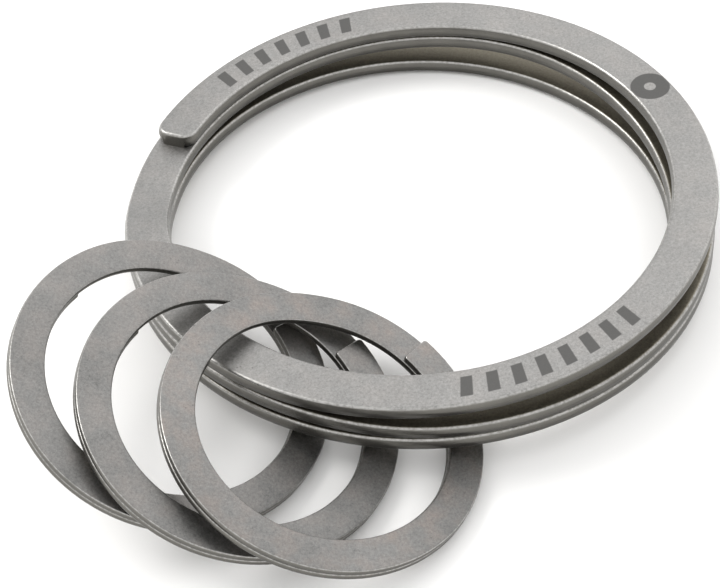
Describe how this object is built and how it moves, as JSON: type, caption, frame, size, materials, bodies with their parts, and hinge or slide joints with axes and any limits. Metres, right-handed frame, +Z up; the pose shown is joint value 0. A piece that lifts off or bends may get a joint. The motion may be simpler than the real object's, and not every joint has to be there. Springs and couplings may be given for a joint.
{
  "type": "split key ring",
  "caption": "Steel split key ring wound from flat strip, with a press-to-open upper end, and small split rings linked through it for single keys.",
  "frame": {"origin": "middle of the outline, on the table the set stands on", "axes": "+Z up from the table; the small rings hang off the large one towards -X and -Y"},
  "size_m": [0.04, 0.0436, 0.008],
  "materials": {
    "steel_large_ring": "tumbled satin",
    "steel_lever": "tumbled satin",
    "steel_small_ring_front": "tumbled satin",
    "steel_small_ring_front_end": "tumbled satin",
    "steel_small_ring_middle": "tumbled satin",
    "steel_small_ring_middle_end": "tumbled satin",
    "steel_small_ring_left": "tumbled satin",
    "steel_small_ring_left_end": "tumbled satin"
  },
  "bodies": {
    "large_ring": {"large_ring_coil": "steel_large_ring"},
    "lever": {"large_ring_lever": "steel_lever"},
    "front_ring": {"small_ring_front_coil": "steel_small_ring_front"},
    "middle_ring": {"small_ring_middle_coil": "steel_small_ring_middle"},
    "left_ring": {"small_ring_left_coil": "steel_small_ring_left"},
    "front_end": {"small_ring_front_end": "steel_small_ring_front_end"},
    "middle_end": {"small_ring_middle_end": "steel_small_ring_middle_end"},
    "left_end": {"small_ring_left_end": "steel_small_ring_left_end"}
  },
  "joints": [
    {"name": "lever_press", "type": "hinge", "parent": "large_ring", "child": "lever", "pos_m": [0.00752, 0.01969, 0.00317], "axis": [0.3088, 0.9504, -0.0356], "range_deg": [0, 3.4], "stiffness_Nm_per_rad": 0.1},
    {"name": "front_ring_travel", "type": "hinge", "parent": "large_ring", "child": "front_ring", "pos_m": [0.00247, 0.00413, 0.00104], "axis": [0.0156, 0.0581, 0.9982], "range_deg": [-20, 10]},
    {"name": "middle_ring_travel", "type": "hinge", "parent": "front_ring", "child": "middle_ring", "pos_m": [0.00247, 0.00413, 0.00104], "axis": [0.0156, 0.0581, 0.9982], "range_deg": [-12, 0]},
    {"name": "left_ring_travel", "type": "hinge", "parent": "middle_ring", "child": "left_ring", "pos_m": [0.00247, 0.00413, 0.00104], "axis": [0.0156, 0.0581, 0.9982], "range_deg": [-12, 0]},
    {"name": "front_end_open", "type": "hinge", "parent": "front_ring", "child": "front_end", "pos_m": [-0.00972, -0.01709, 0.00511], "axis": [-0.8011, -0.5443, 0.2489], "range_deg": [0, 8], "stiffness_Nm_per_rad": 0.02},
    {"name": "middle_end_open", "type": "hinge", "parent": "middle_ring", "child": "middle_end", "pos_m": [-0.0148, -0.015, 0.00561], "axis": [-0.8607, -0.4262, 0.2785], "range_deg": [0, 8], "stiffness_Nm_per_rad": 0.02},
    {"name": "left_end_open", "type": "hinge", "parent": "left_ring", "child": "left_end", "pos_m": [-0.01873, -0.0125, 0.00606], "axis": [-0.8755, -0.38, 0.2985], "range_deg": [0, 8], "stiffness_Nm_per_rad": 0.02}
  ]
}
